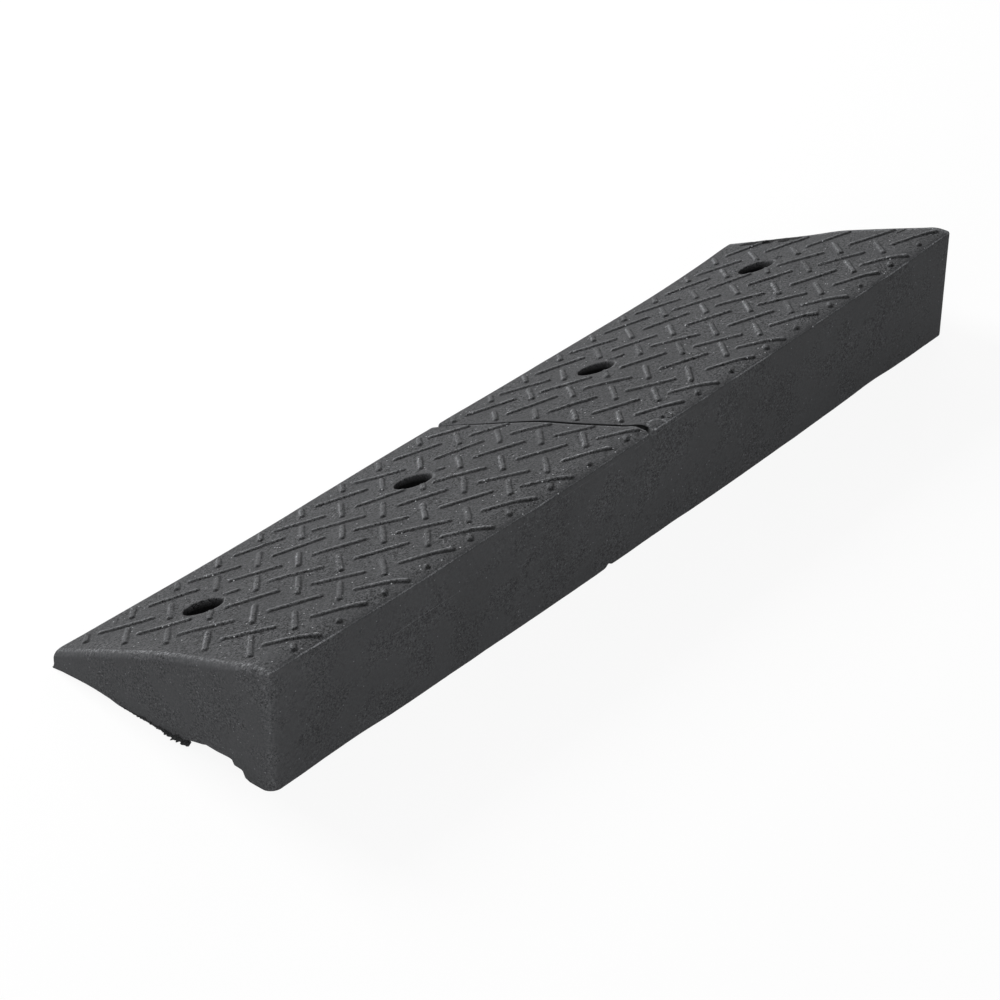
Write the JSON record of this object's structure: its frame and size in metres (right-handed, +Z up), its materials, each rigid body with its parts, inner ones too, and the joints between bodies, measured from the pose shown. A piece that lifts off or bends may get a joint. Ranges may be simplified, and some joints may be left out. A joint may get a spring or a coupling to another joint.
{
  "type": "rubber kerb ramp",
  "caption": "Wedge-shaped moulded rubber kerb ramp in butted sections, with a raised bar tread, counterbored fixing holes and a low drain channel underneath.",
  "frame": {"origin": "on the road, at the middle of the ramp's length and width", "axes": "+X along the ramp towards the near section, +Y from the toe to the kerb face, +Z up"},
  "size_m": [1.0006, 0.27, 0.122],
  "materials": {
    "moulded_rubber": "matte, dusty moulding"
  },
  "bodies": {
    "near_section": {"near_ramp_section": "moulded_rubber"},
    "far_section": {"far_ramp_section": "moulded_rubber"}
  },
  "joints": [
    {"name": "far_section_pull_away", "type": "slide", "parent": "near_section", "child": "far_section", "axis": [-1, 0, 0], "range_m": [0, 0.15]}
  ]
}
